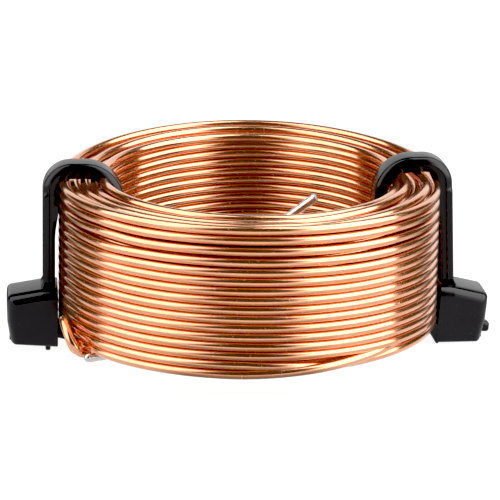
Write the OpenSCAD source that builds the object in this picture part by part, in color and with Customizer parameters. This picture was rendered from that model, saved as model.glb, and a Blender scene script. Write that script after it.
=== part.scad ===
// Air-core inductor: a round, self-supporting winding of enamelled copper wire, held by
// two cable ties, with the two ends of the wire stripped and tinned.
// Millimetres. +Z runs up the winding's axis, and the origin is on the surface that the
// part stands on, under the middle of the winding. The left tie lies on -X.

/* [Wire] */
// Diameter over the enamel
wire_d = 1.08; // [0.9:0.01:1.1]
// Diameter of a tinned end
tinned_d = 1.04; // [0.8:0.01:1.08]
// Length that is stripped and tinned at each end
tinned_length = 4.8; // [3:0.1:6]

/* [Winding] */
// Outside diameter
winding_od = 44.7; // [43.5:0.1:44.8]
// Height
winding_h = 18; // [16.8:0.1:18.1]
// Turns that lie one above another in the outer layer
rows = 16; // [12:1:16]
// Layers of turns
layers = 5; // [3:1:5]
// Distance between the wire's centres in neighbouring layers
layer_pitch = 1.145; // [1:0.005:1.15]
// Clear height under the winding
lift = 2.75; // [2.4:0.05:3]

/* [Cable ties] */
// Direction of the left tie, anticlockwise from +X
left_tie_angle = 180; // [178:0.5:182]
// Direction of the right tie, anticlockwise from +X
right_tie_angle = 4.3; // [-2:0.1:6]
// Width of the strap
strap_w = 3.6; // [3:0.1:4.2]
// Thickness of the strap
strap_t = 1.25; // [1:0.05:1.3]
// Distance from the axis to the outer face of the strap's outer leg
strap_reach = 24.15; // [24.1:0.05:24.5]
// Distance from the axis to the bore face of the strap
strap_bore_reach = 14.6; // [13.5:0.1:14.8]
// Height of the top of the left strap above the bottom of the winding
strap_rise = 19.5; // [19.4:0.05:20.5]
// Depth of the head, out from the winding
head_depth = 5.9; // [5.5:0.05:6.2]
// Height of the head, along its strap side
head_h = 7.2; // [6.9:0.05:7.4]
// Width of the head
head_w = 6.6; // [6:0.1:7.5]
// Draft of the head's foot, and the lean that lays the right head's foot flat
head_draft = 4; // [3:0.5:5]
// Length of the torn stub of tail on the right head
stub_l = 0.9; // [0.4:0.1:1.2]

/* [Hidden] */
$fn = 96;

// Winding: the wire's centres lie on a grid of rows and layers
outer_centre_r = (winding_od - wire_d) / 2;
inner_centre_r = outer_centre_r - (layers - 1) * layer_pitch;
row_pitch = (winding_h - wire_d) / (rows - 1);
lowest_row_z = lift + wire_d / 2;
top_row_z = lowest_row_z + (rows - 1) * row_pitch;

// Leads: both cross under the winding, just clear of its lowest turns
lead_gap = 0.08;
lead_z = lift - lead_gap - wire_d / 2;
bend_ball_extra = 0.01;

// Start of the wire: in under the winding, then up into the lowest turn of the inmost layer
start_angle = 214;
start_rise_r = inner_centre_r + 0.25;
start_tip_r = 22.9;
start_tip_angle = 211.4;
start_bend = polar(start_rise_r, start_angle, lead_z);
start_end = polar(start_tip_r, start_tip_angle, lead_z);
start_tin = start_end + tinned_length * unit(start_bend - start_end);
start_route = [
    polar(start_rise_r, start_angle, lowest_row_z),
    start_bend,
    start_tin
];

// The top turn of the outmost layer ends behind the right tie and comes down the outside
drop_angle = 15;
drop_r = outer_centre_r + wire_d + lead_gap;
drop_root_r = outer_centre_r - 1;
drop_inset = 0.25;
drop_route = [
    polar(drop_root_r, drop_angle, top_row_z - drop_inset),
    polar(drop_r, drop_angle, top_row_z - drop_inset),
    polar(drop_r, drop_angle, lowest_row_z + drop_inset),
    polar(drop_root_r, drop_angle, lowest_row_z + drop_inset)
];

// End of the wire: out past the left tie, in under the winding and up across the bore,
// with the tinned end turned a few degrees off the line of its lead
end_under = polar(15.2, 204.5, lead_z);
end_end = polar(13.3, 300.3, lift + 18.4);
end_tip_turn = 1.5;
end_tip_aim = end_under + [0, 0, end_tip_turn];
end_tin = end_end + tinned_length * unit(end_tip_aim - end_end);
end_route = [
    polar(21.5, 185.5, lowest_row_z),
    polar(21.9, 190, lift - 0.1),
    polar(22.65, 196, lift - 0.35),
    polar(22.6, 203, lift - 0.5),
    polar(21.3, 206.5, lead_z),
    end_under,
    end_tin
];

// Strap of a tie, by its middle line in the plane of the axis: [from axis, height]
strap_mid_r = strap_reach - strap_t / 2;
strap_bore_mid_r = strap_bore_reach + strap_t / 2;
strap_under_z = lift - 0.055 - strap_t / 2;
strap_under_r = 20;
strap_root_z = lift + 3;
strap_upright_z = lift + 9.7;
right_strap_lean = 2.4;
right_strap_extra = 0.3;
outer_bend_r = 2.2;
bore_bend_r = 2.8;
foot_bend_r = 1.6;
slot_bend_r = 6;
bend_steps = 12;
straight_half = 89.9;

// Head of a tie, from the foot of its strap side: [out, up, rounding of the corner]
head_face_r = winding_od / 2 + 0.1;
left_head_foot = [head_face_r, lift - 2.42];
right_head_foot = [head_face_r - 0.33, 0];
head_low_out = head_depth - 0.45;
head_low = head_low_out * tan(head_draft);
head_side = [
    [0, 0, 0.35],
    [head_low_out, head_low, 0.75],
    [head_depth - 0.05, head_h * 0.42, 2],
    [head_depth, head_h * 0.7, 2],
    [head_depth - 0.05, head_h * 0.88, 0.6],
    [strap_t + 0.5, head_h - 0.15, 1],
    [0.1, head_h, 0.4]
];
lead_in_reach = 1.3;
lead_in_low = 2.1;
lead_in_high = 2.55;
head_plan_round = 0.7;
slot_w = strap_w + 0.5;
slot_h = strap_t + 0.4;
slot_v = 1.6;
tail_inset = 0.3;
pawl_l = 1.7;
gate_d = 0.7;
gate_out = 1.1;
gate_side = 2.3;
overlap = 0.05;

function polar(r, angle, z) = [r * cos(angle), r * sin(angle), z];
function unit(v) = v / norm(v);
function turned(v, angle) = [v.x * cos(angle) - v.y * sin(angle), v.x * sin(angle) + v.y * cos(angle)];

// A point of the head's side view, carried to the plane of the axis
function head_point(foot, tilt, p) = foot + turned(p, -tilt);

// Points of the arc that rounds the corner b, between its neighbours a and c
function corner_arc(a, b, c, r) =
    let (
        back = unit(a - b),
        ahead = unit(c - b),
        half = acos(back * ahead) / 2,
        centre = b + unit(back + ahead) * r / sin(half),
        start = b + back * r / tan(half) - centre,
        way = cross(b - a, c - b) > 0 ? 1 : -1,
        sweep = way * (180 - 2 * half)
    )
    half > straight_half ? [b] : [for (i = [0:bend_steps]) centre + turned(start, sweep * i / bend_steps)];

// An open line with its inner corners rounded
function rounded_line(points, rounds) = [
    points[0],
    for (i = [1:len(points) - 2]) each corner_arc(points[i - 1], points[i], points[i + 1], rounds[i - 1]),
    points[len(points) - 1]
];

// A closed outline of [x, y, rounding of the corner]
function rounded_outline(corners) =
    let (n = len(corners), points = [for (c = corners) [c.x, c.y]])
    [for (i = [0:n - 1])
        each corner_arc(points[(i + n - 1) % n], points[i], points[(i + 1) % n], corners[i].z)];

// One side of a band: the line moved sideways by the offset
function side_line(line, offset) =
    let (last = len(line) - 1)
    [for (i = [0:last])
        let (along = unit(line[min(i + 1, last)] - line[max(i - 1, 0)]))
        line[i] + offset * [-along.y, along.x]];

function reversed(list) = [for (i = [len(list) - 1:-1:0]) list[i]];

// A straight stretch of round wire from p to q
module bar(p, q, d) {
    run = q - p;
    translate(p)
        rotate([0, acos(run.z / norm(run)), atan2(run.y, run.x)])
            cylinder(h = norm(run), d = d);
}

// Round wire along a route, with a ball in each bend
module wire_run(route) {
    for (i = [0:len(route) - 2])
        bar(route[i], route[i + 1], wire_d);
    for (i = [1:len(route) - 2])
        translate(route[i])
            sphere(d = wire_d + bend_ball_extra, $fn = 48);
}

// Section of the winding: a full pack of turns, with the wires' own curves all round it
module winding_section() {
    translate([inner_centre_r, lowest_row_z])
        square([outer_centre_r - inner_centre_r, top_row_z - lowest_row_z]);
    for (layer = [0:layers - 1], row = [0:rows - 1])
        if (layer == 0 || layer == layers - 1 || row == 0 || row == rows - 1)
            translate([inner_centre_r + layer * layer_pitch, lowest_row_z + row * row_pitch])
                circle(d = wire_d, $fn = 48);
}

// The wire, all in one piece: its turns and both of its leads
module winding() {
    color("#c46a35") {
        rotate_extrude()
            winding_section();
        wire_run(start_route);
        wire_run(drop_route);
        wire_run(end_route);
    }
}

// The strap of a tie: up outside, over the top, down the bore and out through the head
module strap(foot, tilt, lean, extra) {
    top_z = lift + strap_rise + extra - strap_t / 2;
    slot_in = head_point(foot, tilt, [0, slot_v]);
    slot_out = head_point(foot, tilt, [head_depth - tail_inset, slot_v]);
    middle = rounded_line(
        [
            [strap_mid_r + (strap_upright_z - strap_root_z) * tan(lean), strap_root_z],
            [strap_mid_r + (strap_upright_z - top_z) * tan(lean), top_z],
            [strap_bore_mid_r, top_z],
            [strap_bore_mid_r, strap_under_z],
            [strap_under_r, strap_under_z],
            slot_in + (slot_out - slot_in) * 0.1,
            slot_out
        ],
        [outer_bend_r, bore_bend_r, foot_bend_r, slot_bend_r, slot_bend_r]
    );
    rotate([90, 0, 0])
        linear_extrude(height = strap_w, center = true)
            polygon(concat(side_line(middle, strap_t / 2), reversed(side_line(middle, -strap_t / 2))));
}

// The head of a tie, with its slot and the locking pawl in it
module head() {
    plan = [
        [0, -head_w / 2, overlap],
        [head_depth, -head_w / 2, head_plan_round],
        [head_depth, head_w / 2, head_plan_round],
        [0, head_w / 2, overlap]
    ];
    slot_top = slot_v + slot_h / 2;
    difference() {
        intersection() {
            rotate([90, 0, 0])
                linear_extrude(height = head_w, center = true)
                    polygon(rounded_outline(head_side));
            translate([0, 0, -1])
                linear_extrude(height = head_h + 2)
                    polygon(rounded_outline(plan));
        }
        translate([-1, -slot_w / 2, slot_top - slot_h])
            cube([head_depth + 2, slot_w, slot_h]);
    }
    rotate([90, 0, 0])
        linear_extrude(height = strap_w - 1, center = true)
            polygon([
                [1.2, slot_top + overlap],
                [1.2 + pawl_l, slot_top - slot_h + strap_t],
                [2 + pawl_l, slot_top - slot_h + strap_t],
                [2 + pawl_l, slot_top + overlap]
            ]);
}

// A whole tie, moulded in one piece
module tie(angle, foot, tilt, lean, extra) {
    rotate([0, 0, angle]) {
        strap(foot, tilt, lean, extra);
        translate([foot.x, 0, foot.y])
            rotate([0, tilt, 0])
                head();
    }
}

// The left tie stands on what is left of its moulding gate
module left_tie() {
    color("#1d1b1e") {
        tie(left_tie_angle, left_head_foot, 0, 0, 0);
        rotate([0, 0, left_tie_angle])
            translate([left_head_foot.x + gate_out, gate_side, 0])
                cylinder(h = left_head_foot.y + 1, d = gate_d);
    }
}

// Ramp on the right head that leads the strap out from under the winding
module lead_in() {
    rotate([90, 0, 0])
        linear_extrude(height = head_w - head_plan_round, center = true)
            polygon([
                [0.3, 0.1],
                [0.3, lead_in_high + 0.1],
                [-lead_in_reach, lead_in_high],
                [-lead_in_reach, lead_in_low],
                [0, 0.1]
            ]);
}

// Stub of the torn tail, in the mouth of the slot
module tail_stub() {
    translate([head_depth - tail_inset - overlap, 0, slot_v])
        rotate([0, 90, 0]) {
            cylinder(h = stub_l + tail_inset - strap_t / 4, d = strap_t);
            translate([0, 0, stub_l + tail_inset - strap_t / 2])
                sphere(d = strap_t + bend_ball_extra);
        }
}

// The right tie stands on the flat foot of its head
module right_tie() {
    color("#1d1b1e") {
        tie(right_tie_angle, right_head_foot, head_draft, right_strap_lean, right_strap_extra);
        rotate([0, 0, right_tie_angle])
            translate([right_head_foot.x, 0, right_head_foot.y])
                rotate([0, head_draft, 0]) {
                    lead_in();
                    tail_stub();
                }
    }
}

// Tinned end at the start of the wire
module start_tip() {
    color("silver")
        bar(start_tin, start_end, tinned_d);
}

// Tinned end at the end of the wire
module end_tip() {
    color("silver")
        bar(end_tin, end_end, tinned_d);
}

winding();
left_tie();
right_tie();
start_tip();
end_tip();
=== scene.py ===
"""An air core inductor: a round winding of enamelled copper wire that holds itself up, two
black cable ties round it, and the wire's two ends, stripped and tinned. It stands on a
pale floor in a small studio.

Sizes are millimetres until a mesh is finished, and metres from there on. Angles in plan
are degrees anticlockwise from +X. The left tie lies on -X.
"""
import logging
import math
import random
from dataclasses import dataclass, field
from enum import Enum
from typing import Callable, Iterable, Sequence

import bmesh
import bpy
from mathutils import Matrix, Vector


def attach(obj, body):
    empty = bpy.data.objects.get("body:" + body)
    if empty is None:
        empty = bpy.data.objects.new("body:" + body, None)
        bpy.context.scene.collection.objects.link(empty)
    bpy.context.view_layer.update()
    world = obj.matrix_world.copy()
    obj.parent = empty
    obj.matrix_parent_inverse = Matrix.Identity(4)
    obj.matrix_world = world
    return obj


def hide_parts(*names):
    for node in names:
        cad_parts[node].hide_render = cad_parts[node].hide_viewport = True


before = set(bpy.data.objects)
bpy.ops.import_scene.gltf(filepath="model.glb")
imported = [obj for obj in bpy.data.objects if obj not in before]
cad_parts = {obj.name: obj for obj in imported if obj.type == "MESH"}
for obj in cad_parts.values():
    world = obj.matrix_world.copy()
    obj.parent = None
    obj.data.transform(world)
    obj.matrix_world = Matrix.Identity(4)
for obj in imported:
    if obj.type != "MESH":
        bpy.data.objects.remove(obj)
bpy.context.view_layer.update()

log = logging.getLogger("inductor")

MM = 0.001
TURN = 360.0
NEARLY_STRAIGHT = math.radians(88)


class Ending(Enum):
    """How the end of a run of wire is shaped."""

    FLAT = "flat"
    ROUND = "round"
    CUT = "cut"


# ---------------------------------------------------------------- lines and places


def polar(radius: float, angle: float, height: float) -> Vector:
    """A place given by its distance from the axis, its direction and its height."""
    a = math.radians(angle)
    return Vector((radius * math.cos(a), radius * math.sin(a), height))


def smoothstep(x: float) -> float:
    """0 below 0, 1 above 1, and an even rise between them."""
    x = min(1.0, max(0.0, x))
    return x * x * (3 - 2 * x)


def hump(x: float, middle: float, half_width: float) -> float:
    """1 at the middle, falling evenly to 0 half a width away on either side."""
    return smoothstep(1 - abs(x - middle) / half_width)


def through(stations: Sequence[tuple[float, ...]], x: float) -> tuple[float, ...]:
    """Reads a smooth line through stations.

    Args:
        stations: Tuples of a rising place and the values there.
        x: The place to read.

    Returns:
        The values at x.
    """
    last = len(stations) - 1
    i = max(0, min(last - 1, sum(s[0] <= x for s in stations) - 1))

    def slope(n: int, value: int) -> float:
        low, high = stations[max(n - 1, 0)], stations[min(n + 1, last)]
        return (high[value] - low[value]) / (high[0] - low[0])

    (x0, *a), (x1, *b) = stations[i], stations[i + 1]
    span = x1 - x0
    t = min(1.0, max(0.0, (x - x0) / span))
    h01 = t * t * (3 - 2 * t)
    h10, h11 = t * (1 - t) ** 2 * span, t * t * (t - 1) * span
    return tuple(
        p * (1 - h01) + q * h01 + slope(i, n + 1) * h10 + slope(i + 1, n + 1) * h11
        for n, (p, q) in enumerate(zip(a, b))
    )


def bent(points: Sequence[Vector], reach: float, steps: int = 8) -> list[Vector]:
    """Rounds the corners of an open line, as stiff wire bends.

    Args:
        points: The corners of the line, with its two ends.
        reach: How far from a corner its bend starts.
        steps: Stretches in each bend.

    Returns:
        The line with its bends.
    """
    line = [points[0].copy()]
    for before, corner, after in zip(points, points[1:], points[2:]):
        into, out = before - corner, after - corner
        start = corner + into.normalized() * min(reach, into.length / 2)
        end = corner + out.normalized() * min(reach, out.length / 2)
        for i in range(steps + 1):
            t = i / steps
            line.append(start.lerp(corner, t).lerp(corner.lerp(end, t), t))
    line.append(points[-1].copy())
    return line


def distances(line: Sequence[Vector]) -> list[float]:
    """How far along a line each of its points is."""
    marks = [0.0]
    for a, b in zip(line, line[1:]):
        marks.append(marks[-1] + (b - a).length)
    return marks


def spaced(line: Sequence[Vector], step: float) -> list[Vector]:
    """Points at even distances along a line, its two ends among them."""
    marks = distances(line)
    count = max(2, round(marks[-1] / step))
    points, i = [], 0
    for n in range(count + 1):
        goal = marks[-1] * n / count
        while i < len(line) - 2 and marks[i + 1] < goal:
            i += 1
        span = marks[i + 1] - marks[i]
        points.append(line[i].lerp(line[i + 1], (goal - marks[i]) / span if span else 0.0))
    return points


def rounded_corner(
    before: Vector, corner: Vector, after: Vector, radius: float, steps: int | None = None
) -> list[Vector]:
    """The arc that rounds a corner.

    Args:
        before: The point before the corner.
        corner: The corner.
        after: The point after it.
        radius: Radius of the arc, made less where the lines are too short for it.
        steps: Stretches in the arc, or None for one to every five degrees.

    Returns:
        The arc's points, or the corner alone where the line runs all but straight on.
    """
    into, out = before - corner, after - corner
    half = into.angle(out) / 2
    if half > NEARLY_STRAIGHT:
        return [corner]
    radius = min(radius, 0.49 * math.tan(half) * min(into.length, out.length))
    into.normalize()
    out.normalize()
    middle = corner + (into + out).normalized() * (radius / math.sin(half))
    start = corner + into * (radius / math.tan(half)) - middle
    end = corner + out * (radius / math.tan(half)) - middle
    axis = start.cross(end).normalized()
    sweep = start.angle(end)
    count = steps or max(4, round(math.degrees(sweep) / 5))
    return [middle + Matrix.Rotation(sweep * n / count, 3, axis) @ start for n in range(count + 1)]


# ---------------------------------------------------------------- meshes


def finished(bm: bmesh.types.BMesh, name: str, sharp: float = 35.0) -> bpy.types.Object:
    """Makes a piece of a bmesh in millimetres.

    Args:
        bm: The shape, which is freed.
        name: The piece's name.
        sharp: Edges that turn by more than this many degrees stay sharp.

    Returns:
        The piece, at the origin, with its place in its mesh.
    """
    bmesh.ops.remove_doubles(bm, verts=bm.verts, dist=1e-5)
    bmesh.ops.recalc_face_normals(bm, faces=bm.faces)
    bmesh.ops.scale(bm, vec=(MM, MM, MM), verts=bm.verts)
    mesh = bpy.data.meshes.new(name)
    bm.to_mesh(mesh)
    bm.free()
    mesh.shade_smooth()
    mesh.set_sharp_from_angle(angle=math.radians(sharp))
    piece = bpy.data.objects.new(name, mesh)
    bpy.context.scene.collection.objects.link(piece)
    return piece


def outline_face(bm: bmesh.types.BMesh, points: Iterable[Vector]) -> bmesh.types.BMFace:
    """A flat face with these corners."""
    return bm.faces.new([bm.verts.new(p) for p in points])


def draw_out(bm: bmesh.types.BMesh, face: bmesh.types.BMFace, along: Vector) -> None:
    """Draws a flat face out into a solid."""
    grown = bmesh.ops.extrude_face_region(bm, geom=[face])
    moved = [g for g in grown["geom"] if isinstance(g, bmesh.types.BMVert)]
    bmesh.ops.translate(bm, vec=along, verts=moved)


def round_edges(
    bm: bmesh.types.BMesh,
    offset: float,
    segments: int,
    edges: Iterable[bmesh.types.BMEdge] | None = None,
) -> None:
    """Rounds the edges of a shape.

    Args:
        bm: The shape.
        offset: How far from an edge its rounding starts.
        segments: Faces across a rounding.
        edges: The edges, or None for all of them.
    """
    bmesh.ops.bevel(
        bm,
        geom=list(bm.edges if edges is None else edges),
        offset=offset,
        segments=segments,
        profile=0.5,
        affect="EDGES",
        material=-1,
    )


def rounded_outline(corners: Sequence[tuple[float, float, float]], steps: int = 5) -> list[Vector]:
    """A closed outline with its corners rounded.

    Args:
        corners: Two coordinates and the rounding of each corner.
        steps: Stretches in each rounding.

    Returns:
        The outline's points, with a third coordinate of 0.
    """
    places = [Vector((x, y, 0)) for x, y, _ in corners]
    points = []
    for i, (_, _, radius) in enumerate(corners):
        after = places[(i + 1) % len(places)]
        points += rounded_corner(places[i - 1], places[i], after, radius, steps)
    return points


@dataclass
class RoundWire:
    """A run of round wire, swept along a line.

    Attributes:
        diameter: Diameter of the wire.
        sides: Sides of its section.
        sharp: Edges that turn by more than this many degrees stay sharp.
        smallest_factor: Least factor on the diameter, at the very tip of a ball end.
        cut_edge: Length of the broken edge of a cut end.
        cut_factor: Factor on the diameter there.
    """

    diameter: float
    sides: int = 16
    sharp: float = 50.0
    smallest_factor: float = 0.06
    cut_edge: float = 0.05
    cut_factor: float = 0.93

    def build(
        self,
        name: str,
        line: Sequence[Vector],
        end: Ending = Ending.FLAT,
        thickness: Callable[[float], float] | None = None,
    ) -> bpy.types.Object:
        """Sweeps the wire and closes its ends.

        Args:
            name: The piece's name.
            line: The middle of the wire.
            end: Shape of the last end. The first one is flat.
            thickness: Factor on the diameter at a distance along the run, or None.

        Returns:
            The piece.
        """
        points = self._with_ball_end(line) if end is Ending.ROUND else line
        runs = distances(points)
        factors = [
            self._end_factor(runs[-1] - run, end) * (thickness(run) if thickness else 1.0)
            for run in runs
        ]
        mesh = self._swept(name, points, factors)
        self._close(mesh)
        piece = bpy.data.objects.new(name, mesh)
        bpy.context.scene.collection.objects.link(piece)
        return piece

    def _swept(self, name: str, points: Sequence[Vector], factors: Sequence[float]) -> bpy.types.Mesh:
        """The open skin of the wire, with these factors on its diameter."""
        curve = bpy.data.curves.new(name, "CURVE")
        curve.dimensions = "3D"
        curve.bevel_depth = self.diameter / 2 * MM
        curve.bevel_resolution = (self.sides - 4) // 2
        spline = curve.splines.new("POLY")
        spline.points.add(len(points) - 1)
        for place, p, factor in zip(spline.points, points, factors):
            place.co = (*(p * MM), 1)
            place.radius = factor
        swept = bpy.data.objects.new(name, curve)
        bpy.context.scene.collection.objects.link(swept)
        depsgraph = bpy.context.evaluated_depsgraph_get()
        mesh = bpy.data.meshes.new_from_object(swept.evaluated_get(depsgraph))
        bpy.data.objects.remove(swept)
        bpy.data.curves.remove(curve)
        mesh.name = name
        return mesh

    def _close(self, mesh: bpy.types.Mesh) -> None:
        """Closes the skin's two ends, turns its faces outwards and smooths it."""
        bm = bmesh.new()
        bm.from_mesh(mesh)
        bmesh.ops.holes_fill(bm, edges=[e for e in bm.edges if e.is_boundary], sides=0)
        bmesh.ops.recalc_face_normals(bm, faces=bm.faces)
        bm.to_mesh(mesh)
        bm.free()
        mesh.materials.clear()
        mesh.shade_smooth()
        mesh.set_sharp_from_angle(angle=math.radians(self.sharp))

    def _with_ball_end(self, points: Sequence[Vector]) -> list[Vector]:
        """The line with close points in its last half diameter, for a rounded end."""
        radius = self.diameter / 2
        tip = points[-1]
        along = (tip - points[-3]).normalized()
        kept = [p for p in points if (tip - p).length > radius]
        steps = 6
        rises = (math.sin(math.pi / 2 * n / steps) for n in range(steps + 1))
        return kept + [tip - along * radius * (1 - rise) for rise in rises]

    def _end_factor(self, gap: float, end: Ending) -> float:
        """Factor on the diameter, that far from the last end, which shapes that end."""
        radius = self.diameter / 2
        if end is Ending.ROUND and gap < radius:
            round_off = math.sqrt(max(0.0, 1 - (1 - gap / radius) ** 2))
            return max(self.smallest_factor, round_off)
        if end is Ending.CUT and gap < self.cut_edge:
            return self.cut_factor
        return 1.0


# ---------------------------------------------------------------- shader building


class Graph:
    """Short ways to add nodes to a node tree."""

    def __init__(self, tree: bpy.types.NodeTree) -> None:
        """Starts on an empty tree."""
        self.tree = tree
        tree.nodes.clear()

    def node(self, kind: str, **settings: object) -> bpy.types.Node:
        """Adds a node with these settings."""
        made = self.tree.nodes.new(kind)
        for key, value in settings.items():
            setattr(made, key, value)
        return made

    def feed(self, socket: bpy.types.NodeSocket, value: object) -> None:
        """Links a socket, or sets its own value."""
        if isinstance(value, bpy.types.NodeSocket):
            self.tree.links.new(value, socket)
        else:
            socket.default_value = value

    def math(self, operation: str, *values: object) -> bpy.types.NodeSocket:
        """A Math node with these inputs."""
        made = self.node("ShaderNodeMath", operation=operation)
        for socket, value in zip(made.inputs, values):
            self.feed(socket, value)
        return made.outputs[0]

    def vector_math(self, operation: str, *values: object) -> bpy.types.NodeSocket:
        """A Vector Math node with these inputs."""
        made = self.node("ShaderNodeVectorMath", operation=operation)
        for socket, value in zip(made.inputs, values):
            self.feed(socket, value)
        return made.outputs[0]

    def in_mm(self, place: bpy.types.NodeSocket) -> bpy.types.NodeSocket:
        """A place in millimetres."""
        return self.vector_math("MULTIPLY", place, (1 / MM,) * 3)

    def length(self, place: bpy.types.NodeSocket) -> bpy.types.NodeSocket:
        """How far a place is from the origin."""
        return self.vector_math("LENGTH", place).node.outputs["Value"]

    def along(self, place: bpy.types.NodeSocket, angle: float) -> bpy.types.NodeSocket:
        """How far a place lies in a direction in plan."""
        way = tuple(polar(1, angle, 0))
        return self.vector_math("DOT_PRODUCT", place, way).node.outputs["Value"]

    def noise(
        self, place: bpy.types.NodeSocket, scale: float, detail: float = 2.0, rough: float = 0.5
    ) -> bpy.types.NodeSocket:
        """A noise from 0 to 1."""
        made = self.node("ShaderNodeTexNoise")
        self.feed(made.inputs["Vector"], place)
        self.feed(made.inputs["Scale"], scale)
        self.feed(made.inputs["Detail"], detail)
        self.feed(made.inputs["Roughness"], rough)
        return made.outputs[0]

    def span(
        self, value: object, low: object, high: object, to_low: object = 0.0, to_high: object = 1.0
    ) -> bpy.types.NodeSocket:
        """Maps low..high to another span, clamped."""
        made = self.node("ShaderNodeMapRange", clamp=True)
        keys = ("Value", "From Min", "From Max", "To Min", "To Max")
        for key, source in zip(keys, (value, low, high, to_low, to_high)):
            self.feed(made.inputs[key], source)
        return made.outputs[0]

    def mix(self, factor: object, a: object, b: object) -> bpy.types.NodeSocket:
        """Mixes two colours."""
        made = self.node("ShaderNodeMix", data_type="RGBA")
        self.feed(made.inputs[0], factor)
        self.feed(made.inputs[6], a)
        self.feed(made.inputs[7], b)
        return made.outputs[2]

    def bump(
        self, principled: bpy.types.Node, height: object, strength: float, depth: float
    ) -> None:
        """Gives a shader a relief of this height, with its depth in millimetres."""
        made = self.node("ShaderNodeBump")
        made.inputs["Strength"].default_value = strength
        made.inputs["Distance"].default_value = depth * MM
        self.feed(made.inputs["Height"], height)
        self.feed(principled.inputs["Normal"], made.outputs[0])

    def place_group(
        self, group: bpy.types.NodeTree, **values: object
    ) -> bpy.types.bpy_prop_collection:
        """Places a node group with its inputs, and gives its outputs."""
        made = self.node("ShaderNodeGroup", node_tree=group)
        for key, value in values.items():
            self.feed(made.inputs[key.replace("_", " ")], value)
        return made.outputs


def new_group(
    name: str, inputs: dict[str, tuple[str, float | None]], outputs: dict[str, str]
) -> tuple[bpy.types.NodeTree, Graph, bpy.types.Node, bpy.types.Node]:
    """Starts a shader node group.

    Args:
        name: Name of the group.
        inputs: Socket kind and default by socket name.
        outputs: Socket kind by socket name.

    Returns:
        The group, its graph, and its input and output nodes.
    """
    tree = bpy.data.node_groups.new(name, "ShaderNodeTree")
    for key, (kind, default) in inputs.items():
        socket = tree.interface.new_socket(key, in_out="INPUT", socket_type=kind)
        if default is not None:
            socket.default_value = default
    for key, kind in outputs.items():
        tree.interface.new_socket(key, in_out="OUTPUT", socket_type=kind)
    graph = Graph(tree)
    return tree, graph, graph.node("NodeGroupInput"), graph.node("NodeGroupOutput")


def drawn_streaks() -> bpy.types.NodeTree:
    """The group of die lines that run along a wire wound round the axis."""
    tree, g, given, out = new_group(
        "Drawn streaks",
        {
            "Place": ("NodeSocketVector", None),
            "Lines per mm": ("NodeSocketFloat", 9.0),
            "Length mm": ("NodeSocketFloat", 14.0),
        },
        {"Streaks": "NodeSocketFloat", "Blotches": "NodeSocketFloat"},
    )
    apart = g.node("ShaderNodeSeparateXYZ")
    g.feed(apart.inputs[0], g.in_mm(given.outputs["Place"]))
    x, y, z = apart.outputs
    around = g.math("ARCTAN2", y, x)
    radius = g.math("SQRT", g.math("ADD", g.math("MULTIPLY", x, x), g.math("MULTIPLY", y, y)))
    middle_radius = 20.0
    along = g.math("DIVIDE", g.math("MULTIPLY", around, middle_radius), given.outputs["Length mm"])
    laid = g.node("ShaderNodeCombineXYZ")
    g.feed(laid.inputs[0], along)
    g.feed(laid.inputs[1], g.math("MULTIPLY", radius, given.outputs["Lines per mm"]))
    g.feed(laid.inputs[2], g.math("MULTIPLY", z, given.outputs["Lines per mm"]))
    g.feed(out.inputs["Streaks"], g.noise(laid.outputs[0], 1.0, 2.0, 0.55))
    broad = g.vector_math("MULTIPLY", laid.outputs[0], (3.0, 0.06, 0.06))
    g.feed(out.inputs["Blotches"], g.noise(broad, 1.0, 2.0, 0.5))
    return tree


def fine_dust() -> bpy.types.NodeTree:
    """The group of small specks of dust, scattered and uneven in size."""
    tree, g, given, out = new_group(
        "Fine dust",
        {
            "Place": ("NodeSocketVector", None),
            "Specks per mm": ("NodeSocketFloat", 3.0),
            "Size": ("NodeSocketFloat", 0.16),
            "Thin out": ("NodeSocketFloat", 0.5),
        },
        {"Dust": "NodeSocketFloat"},
    )
    laid = g.in_mm(given.outputs["Place"])
    cells = g.node("ShaderNodeTexVoronoi", feature="F1")
    g.feed(cells.inputs["Vector"], laid)
    g.feed(cells.inputs["Scale"], given.outputs["Specks per mm"])
    full_within = 0.02
    speck = g.span(cells.outputs["Distance"], given.outputs["Size"], full_within)
    drifts = g.noise(laid, 1.3, 2.0)
    thin_out, softness = given.outputs["Thin out"], 0.12
    kept = g.span(drifts, thin_out, g.math("ADD", thin_out, softness))
    g.feed(out.inputs["Dust"], g.math("MULTIPLY", speck, kept))
    return tree


def surface_grain() -> bpy.types.NodeTree:
    """The group of a fine uneven surface: a grain, and slow waves under it."""
    tree, g, given, out = new_group(
        "Surface grain",
        {
            "Place": ("NodeSocketVector", None),
            "Grains per mm": ("NodeSocketFloat", 8.0),
            "Waves per mm": ("NodeSocketFloat", 0.6),
            "Wave share": ("NodeSocketFloat", 0.5),
        },
        {"Height": "NodeSocketFloat", "Waves": "NodeSocketFloat"},
    )
    laid = g.in_mm(given.outputs["Place"])
    grain = g.noise(laid, given.outputs["Grains per mm"], 2.0)
    waves = g.noise(laid, given.outputs["Waves per mm"], 1.0)
    share = given.outputs["Wave share"]
    slow = g.math("MULTIPLY", waves, share)
    fine = g.math("MULTIPLY", grain, g.math("SUBTRACT", 1.0, share))
    g.feed(out.inputs["Height"], g.math("ADD", slow, fine))
    g.feed(out.inputs["Waves"], waves)
    return tree


@dataclass(frozen=True)
class Groups:
    """The shared node groups.

    Attributes:
        streaks: Die lines along a wire.
        dust: Specks of dust.
        grain: A fine uneven surface.
    """

    streaks: bpy.types.NodeTree
    dust: bpy.types.NodeTree
    grain: bpy.types.NodeTree


def new_shader(name: str, kind: str) -> tuple[bpy.types.Material, Graph, bpy.types.Node]:
    """Starts a material on one shader node of this kind, and gives its graph and that node."""
    material = bpy.data.materials.new(name)
    material.use_nodes = True
    g = Graph(material.node_tree)
    made = g.node(kind)
    out = g.node("ShaderNodeOutputMaterial")
    g.feed(out.inputs["Surface"], made.outputs[0])
    return material, g, made


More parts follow.
